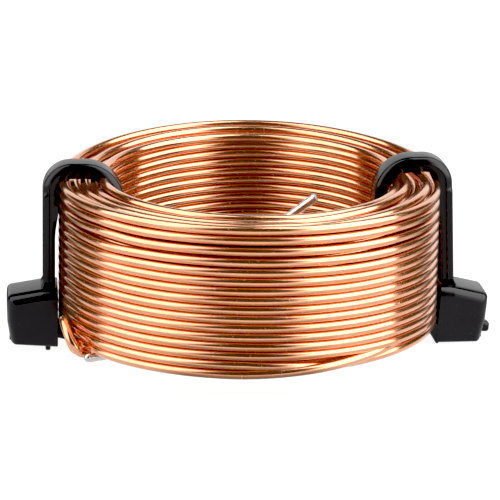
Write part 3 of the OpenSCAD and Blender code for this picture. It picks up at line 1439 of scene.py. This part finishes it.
    def _cut_slot(self, head: bpy.types.Object) -> None:
        """Cuts the slot for the strap through the head."""
        bm = bmesh.new()
        bmesh.ops.create_cube(bm, size=1.0)
        bmesh.ops.scale(bm, vec=(self.head_depth + 3, self.slot_w, self.slot_h), verts=bm.verts)
        bmesh.ops.translate(bm, vec=(self.head_depth / 2, 0, self.slot_v), verts=bm.verts)
        lengthwise = [e for e in bm.edges if abs(e.verts[0].co.x - e.verts[1].co.x) > 1]
        round_edges(bm, 0.15, 2, lengthwise)
        cutter = finished(self._placed(bm), "slot_cutter")
        cut = head.modifiers.new("Slot", "BOOLEAN")
        cut.operation = "DIFFERENCE"
        cut.solver = "EXACT"
        cut.object = cutter
        depsgraph = bpy.context.evaluated_depsgraph_get()
        mesh = bpy.data.meshes.new_from_object(head.evaluated_get(depsgraph))
        head.modifiers.clear()
        head.data = mesh
        bpy.data.objects.remove(cutter)

    def _placed(self, bm: bmesh.types.BMesh) -> bmesh.types.BMesh:
        """Turns a shape made in the head's own directions to its place."""
        lean = Matrix.Rotation(math.radians(self.tilt), 4, "Y")
        move = Matrix.Translation((self.foot[0], 0, self.foot[1]))
        spin = Matrix.Rotation(math.radians(self.angle), 4, "Z")
        bmesh.ops.transform(bm, matrix=spin @ move @ lean, verts=bm.verts)
        return bm

    def _around(self, bm: bmesh.types.BMesh) -> bmesh.types.BMesh:
        """Turns a shape made on +X round the axis to the tie's direction."""
        spin = Matrix.Rotation(math.radians(self.angle), 4, "Z")
        bmesh.ops.transform(bm, matrix=spin, verts=bm.verts)
        return bm

    def _pawl(self) -> bmesh.types.BMesh:
        """The locking pawl that hangs in the slot."""
        bm = bmesh.new()
        top = self.slot_v + self.slot_h / 2
        low = top - self.slot_h + self.thickness
        corners = [(1.2, top + 0.05), (2.9, low), (3.7, low), (3.7, top + 0.05)]
        face = outline_face(bm, [Vector((x, -self.pawl_half, z)) for x, z in corners])
        draw_out(bm, face, Vector((0, 2 * self.pawl_half, 0)))
        round_edges(bm, 0.08, 1)
        return bm

    def _tail(self) -> bmesh.types.BMesh:
        """The torn stub of tail, worn round."""
        bm = bmesh.new()
        bmesh.ops.create_cube(bm, size=1.0)
        length, torn_share, sunk = 2.2, 0.42, 0.15
        size = (length, self.width * torn_share, self.thickness)
        bmesh.ops.scale(bm, vec=size, verts=bm.verts)
        round_edges(bm, 0.38, 3)
        place = (self.head_depth - sunk, 0, self.slot_v)
        bmesh.ops.translate(bm, vec=place, verts=bm.verts)
        return bm

    def _gate(self) -> bmesh.types.BMesh:
        """What is left of the moulding gate, from inside the head down to the floor."""
        bm = bmesh.new()
        inside, tip_r, root_r = 0.6, 0.28, 0.36
        depth = self.foot[1] + inside
        bmesh.ops.create_cone(
            bm, cap_ends=True, segments=16, radius1=tip_r, radius2=root_r, depth=depth
        )
        bmesh.ops.translate(bm, vec=(1.1, 2.3, depth / 2 - self.foot[1]), verts=bm.verts)
        return bm

    def _ramp(self) -> bmesh.types.BMesh:
        """The ramp that leads the strap out from under the winding."""
        bm = bmesh.new()
        corners = [(0.3, 0.1), (0.3, 2.65), (-1.3, 2.55), (-1.3, 2.1), (0.0, 0.1)]
        face = outline_face(bm, [Vector((x, -self.ramp_half, z)) for x, z in corners])
        draw_out(bm, face, Vector((0, 2 * self.ramp_half, 0)))
        bmesh.ops.recalc_face_normals(bm, faces=bm.faces)
        round_edges(bm, 0.18, 2)
        return bm

    def build(self, nylon: bpy.types.Material) -> None:
        """Builds the strap, its teeth, the head and what is in it."""
        made = [
            finished(self._around(self._strap()), f"{self.side}_strap", 28),
            finished(self._around(self._teeth()), f"{self.side}_strap_teeth", 20),
        ]
        head = finished(self._placed(self._head()), f"{self.side}_head", 30)
        self._cut_slot(head)
        made += [head, finished(self._placed(self._pawl()), f"{self.side}_pawl", 20)]
        if self.has_tail:
            made.append(finished(self._placed(self._tail()), f"{self.side}_tail", 40))
            made.append(finished(self._placed(self._ramp()), f"{self.side}_lead_in", 30))
        else:
            made.append(finished(self._placed(self._gate()), f"{self.side}_gate", 40))
        for piece in made:
            piece.data.materials.clear()
            piece.data.materials.append(nylon)
            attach(piece, "root")
            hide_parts(f"{self.side}_tie")
            log.info("%s: %d faces", piece.name, len(piece.data.polygons))


# ---------------------------------------------------------------- the studio


@dataclass(frozen=True)
class Softbox:
    """A tall light panel that curves round the part and over it.

    Attributes:
        name: Its name.
        outer: Direction of its outer edge at the floor, where it ends hard.
        inner: Direction of its inner edge at the floor, where it fades.
        fade: Degrees over which the inner edge fades.
        radiance: Brightness.
        outer_lean: Degrees by which the outer edge has turned at the lean height.
        inner_lean: Degrees by which the inner edge has turned at the lean height, and above it.
        lean_height: Degrees above the floor at which the leans are given.
        outer_turns_until: Up to how many lean heights the outer edge goes on turning.
        top: Degrees above the floor at which it ends.
        radius: Distance from the middle of the floor.
        foot: Height of its bottom edge.
    """

    name: str
    outer: float
    inner: float
    fade: float
    radiance: float
    outer_lean: float
    inner_lean: float
    lean_height: float = 30.0
    outer_turns_until: float = 2.3
    top: float = 86.0
    radius: float = 780.0
    foot: float = 1.0

    def build(self) -> None:
        """Builds the panel and its light."""
        bm = bmesh.new()
        bmesh.ops.create_grid(bm, x_segments=40, y_segments=20, size=0.5)
        lit = bm.verts.layers.float.new("lit")
        for v in bm.verts:
            across, up = v.co.x + 0.5, (v.co.y + 0.5) * self.top
            risen = up / self.lean_height
            outer = self.outer + self.outer_lean * min(risen, self.outer_turns_until) ** 2
            inner = self.inner + self.inner_lean * min(risen, 1.0) ** 2
            around = outer + (inner - outer) * across
            v[lit] = min(1.0, abs(inner - around) / self.fade)
            climb = math.radians(up)
            height = self.foot + self.radius * math.sin(climb)
            v.co = polar(self.radius * math.cos(climb), around, height)
        panel = finished(bm, self.name)
        material, g, glow = new_shader(self.name, "ShaderNodeEmission")
        level = g.node("ShaderNodeAttribute", attribute_name="lit").outputs["Fac"]
        g.feed(glow.inputs["Strength"], g.math("MULTIPLY", level, self.radiance))
        panel.data.materials.append(material)
        panel.visible_camera = False


@dataclass(frozen=True)
class PaintedFloorLight:
    """How bright the floor glows to what stands on it: painted light and shade, with painted shadow
    round the part and in the bore and painted pools of light before the soft boxes. Distances are in
    metres.

    Attributes:
        near: Level of the painted shadow round the part.
        bore: Level of the painted shade along the middle of the bore.
        sides: Level of the painted light at the sides of the bore.
        front: Level of the painted shade on the floor just in front of the part.
        far: Level a long way off.
        bore_edge: Distances from the axis over which the bore's floor begins.
        bore_sides: Distances to the side over which its sides begin.
        front_edge: Distances from the axis over which the lit front begins.
        far_edge: Distances from the axis over which the far floor begins.
        facing: Cosines of the angle from a lit direction over which it is lit.
        lit_ways: Direction and level of the painted pool of light on the floor before each soft box.
    """

    near: float = 0.09
    bore: float = 0.05
    sides: float = 0.85
    front: float = 0.3
    far: float = 0.5
    bore_edge: tuple[float, float] = (0.019, 0.015)
    bore_sides: tuple[float, float] = (0.003, 0.009)
    front_edge: tuple[float, float] = (0.024, 0.042)
    far_edge: tuple[float, float] = (0.055, 0.12)
    facing: tuple[float, float] = (0.66, 0.88)
    lit_ways: tuple[tuple[float, float], ...] = ((202.0, 0.85), (331.0, 0.9))

    def level(
        self, g: Graph, place: bpy.types.NodeSocket, camera_angle: float
    ) -> bpy.types.NodeSocket:
        """Draws the painted light and shade over the floor.

        Args:
            g: The floor's graph.
            place: The place on the floor.
            camera_angle: Direction from the axis to the camera.

        Returns:
            The painted brightness there.
        """
        reach = g.length(place)
        way = g.vector_math("NORMALIZE", place)
        aside = g.math("ABSOLUTE", g.along(place, camera_angle + 90))
        # Painted shade along the middle of the bore, painted light at its sides.
        in_bore = g.math(
            "MINIMUM",
            g.span(reach, *self.bore_edge, self.near, 1.0),
            g.span(aside, *self.bore_sides, self.bore, self.sides),
        )
        # Painted shade on the floor just in front of the part.
        in_front = g.math(
            "MINIMUM",
            g.span(reach, *self.front_edge, self.front, 1.0),
            g.span(g.along(way, camera_angle), *self.facing, self.near, 1.0),
        )
        # Painted shadow round the part, rising to the far floor's level.
        lit = g.math("MAXIMUM", g.span(reach, *self.far_edge, self.near, self.far), in_bore)
        lit = g.math("MAXIMUM", lit, in_front)
        # Painted pools of light on the floor before the soft boxes.
        for angle, level in self.lit_ways:
            before_box = g.span(g.along(way, angle), *self.facing, self.near, level)
            lit = g.math("MAXIMUM", lit, before_box)
        return lit


@dataclass
class Studio:
    """The floor, the white backdrop, the soft boxes, the room and the camera.

    Attributes:
        floor_r: Radius of the floor.
        floor_shades: Darkest and lightest colour of the floor.
        floor_seen: Brightness of the floor to the camera.
        painted_floor_light: The painted light and shade that the floor glows with, as the part sees
            it.
        sweep_r: Distance from the axis to the backdrop.
        sweep_ends: Directions of the backdrop's two ends.
        sweep_foot: Height of the backdrop's bottom edge.
        sweep_h: Height of its top edge.
        sweep_fade: Heights over which its light fades in, downward, in metres.
        room: Colour of the dim room.
        softboxes: The light panels, left and right.
        black_level: Level below which the picture is black.
        camera_angle: Direction from the axis to the camera.
        camera_reach: Distance from the axis to the camera.
        camera_z: Height of the camera.
        pitch: Downward tilt of the camera.
        roll: Turn of the camera about its own line of sight.
        aim_right: How far right of the axis the camera aims.
        lens: Focal length.
        sensor: Width of the sensor.
        clip: Nearest and farthest distance that the camera sees, in metres.
    """

    floor_r: float = 1500.0
    floor_shades: tuple[float, float] = (0.20, 0.22)
    floor_seen: float = 0.93
    painted_floor_light: PaintedFloorLight = PaintedFloorLight()
    sweep_r: float = 900.0
    sweep_ends: tuple[float, float] = (44.0, 129.0)
    sweep_foot: float = 1.0
    sweep_h: float = 700.0
    sweep_fade: tuple[float, float] = (0.7, 0.55)
    room: tuple[float, float, float, float] = (0.015, 0.015, 0.017, 1)
    softboxes: tuple[Softbox, Softbox] = (
        Softbox("left_softbox", 168.8, 236.0, 18.0, radiance=2.3, outer_lean=-8.0, inner_lean=6.0),
        Softbox("right_softbox", 361.5, 288.0, 17.0, radiance=3.1, outer_lean=13.0, inner_lean=9.0),
    )
    black_level: float = 0.032
    camera_angle: float = 265.8
    camera_reach: float = 402.8
    camera_z: float = 134.95
    pitch: float = 0.29772
    roll: float = 0.016624
    aim_right: float = 0.167
    lens: float = 258.42
    sensor: float = 36.0
    clip: tuple[float, float] = (0.02, 20.0)

    def build_floor(self) -> None:
        """The pale floor, which the camera sees almost without shadow, as on a lit table."""
        bm = bmesh.new()
        bmesh.ops.create_circle(bm, cap_ends=True, segments=96, radius=self.floor_r)
        floor = finished(bm, "floor")
        material, g, principled, place = new_finish("Pale floor")
        soft = g.noise(g.vector_math("MULTIPLY", place, (12.0, 12.0, 12.0)), 1.0, 1.0)
        shades = ((shade, shade, shade, 1) for shade in self.floor_shades)
        g.feed(principled.inputs["Base Color"], g.mix(soft, *shades))
        principled.inputs["Roughness"].default_value = 0.9
        principled.inputs["Specular IOR Level"].default_value = 0.0
        principled.inputs["Emission Color"].default_value = (1, 1, 1, 1)
        principled.inputs["Emission Strength"].default_value = self.floor_seen
        # Everything but the camera sees the floor glow with painted light and shade: painted shadow
        # round the part and in the bore, painted pools of light before the soft boxes.
        glow = g.node("ShaderNodeEmission")
        g.feed(glow.inputs["Strength"], self.painted_floor_light.level(g, place, self.camera_angle))
        seen = g.node("ShaderNodeMixShader")
        g.feed(seen.inputs[0], g.node("ShaderNodeLightPath").outputs["Is Camera Ray"])
        g.feed(seen.inputs[1], glow.outputs[0])
        g.feed(seen.inputs[2], principled.outputs[0])
        out = next(n for n in material.node_tree.nodes if n.type == "OUTPUT_MATERIAL")
        g.feed(out.inputs["Surface"], seen.outputs[0])
        floor.data.materials.append(material)

    def build_backdrop(self) -> None:
        """The white sweep behind the part."""
        bm = bmesh.new()
        start, end = self.sweep_ends
        foot = bm.verts.new(polar(self.sweep_r, start, self.sweep_foot))
        head = bm.verts.new(polar(self.sweep_r, start, self.sweep_h))
        edge = bm.edges.new((foot, head))
        bmesh.ops.spin(
            bm,
            geom=[foot, head, edge],
            axis=(0, 0, 1),
            cent=(0, 0, 0),
            angle=math.radians(end - start),
            steps=32,
            use_duplicate=False,
        )
        sweep = finished(bm, "backdrop")
        material, g, glow = new_shader("Lit backdrop", "ShaderNodeEmission")
        apart = g.node("ShaderNodeSeparateXYZ")
        g.feed(apart.inputs[0], g.node("ShaderNodeTexCoord").outputs["Object"])
        g.feed(glow.inputs["Strength"], g.span(apart.outputs[2], *self.sweep_fade))
        sweep.data.materials.append(material)
        sweep.visible_camera = False

    def build_room(self) -> None:
        """A dim room that is white where the camera looks past the floor."""
        world = bpy.data.worlds.new("Room")
        world.use_nodes = True
        g = Graph(world.node_tree)
        dim = g.node("ShaderNodeBackground")
        white = g.node("ShaderNodeBackground")
        dim.inputs["Color"].default_value = self.room
        white.inputs["Color"].default_value = (1, 1, 1, 1)
        either = g.node("ShaderNodeMixShader")
        g.feed(either.inputs[0], g.node("ShaderNodeLightPath").outputs["Is Camera Ray"])
        g.feed(either.inputs[1], dim.outputs[0])
        g.feed(either.inputs[2], white.outputs[0])
        out = g.node("ShaderNodeOutputWorld")
        g.feed(out.inputs["Surface"], either.outputs[0])
        bpy.context.scene.world = world

    def build_camera(self) -> None:
        """The camera, which looks down at the part and leans a little."""
        data = bpy.data.cameras.new("camera")
        data.lens = self.lens
        data.sensor_width = self.sensor
        data.clip_start, data.clip_end = self.clip
        camera = bpy.data.objects.new("camera", data)
        bpy.context.scene.collection.objects.link(camera)
        place = polar(self.camera_reach, self.camera_angle, self.camera_z)
        inward = -polar(1, self.camera_angle, 0)
        ahead = inward * math.cos(self.pitch) - Vector((0, 0, math.sin(self.pitch)))
        right = self._right_of(ahead)
        to_axis = self.camera_reach / math.cos(self.pitch)
        ahead = (ahead * to_axis + right * self.aim_right).normalized()
        right = self._right_of(ahead)
        up = right.cross(ahead)
        x = right * math.cos(self.roll) + up * math.sin(self.roll)
        y = up * math.cos(self.roll) - right * math.sin(self.roll)
        turned = Matrix((x, y, -ahead)).transposed().to_4x4()
        camera.matrix_world = Matrix.Translation(place * MM) @ turned
        bpy.context.scene.camera = camera

    @staticmethod
    def _right_of(ahead: Vector) -> Vector:
        """The level direction to the right of this line of sight."""
        return ahead.cross(Vector((0, 0, 1))).normalized()

    def set_picture(self) -> None:
        """Gives the picture plain colours and its black level."""
        view = bpy.context.scene.view_settings
        view.view_transform = "Standard"
        view.look = "None"
        view.exposure, view.gamma = 0.0, 1.0
        view.use_curve_mapping = True
        view.curve_mapping.black_level = (self.black_level,) * 3
        view.curve_mapping.update()

    def build(self) -> None:
        """Sets up the whole studio."""
        self.build_camera()
        self.build_floor()
        self.build_backdrop()
        self.build_room()
        for softbox in self.softboxes:
            softbox.build()
        self.set_picture()
        log.info("studio ready")


def main() -> None:
    """Builds the studio and the part."""
    logging.basicConfig(level=logging.INFO, format="%(message)s")
    Studio().build()
    groups = Groups(drawn_streaks(), fine_dust(), surface_grain())
    copper = EnamelledCopper().make(groups)
    tin = SolderTin().make(groups)
    nylon = BlackNylon().make(groups)
    leads = Leads()
    Winding(leads).build(copper)
    LeadTip("start_tin", "start_tip", *leads.tinned_start(), Ending.ROUND).build(tin)
    LeadTip("end_tin", "end_tip", *leads.tinned_end(), Ending.CUT).build(tin)
    CableTie("left", 180.0, (22.45, 0.33), under_z=1.12).build(nylon)
    CableTie(
        "right", 4.3, (22.12, 0.0), tilt=4.0, lean=2.4, extra=0.3, has_tail=True
    ).build(nylon)
    log.info("sizes written")


if __name__ == "__main__":
    main()
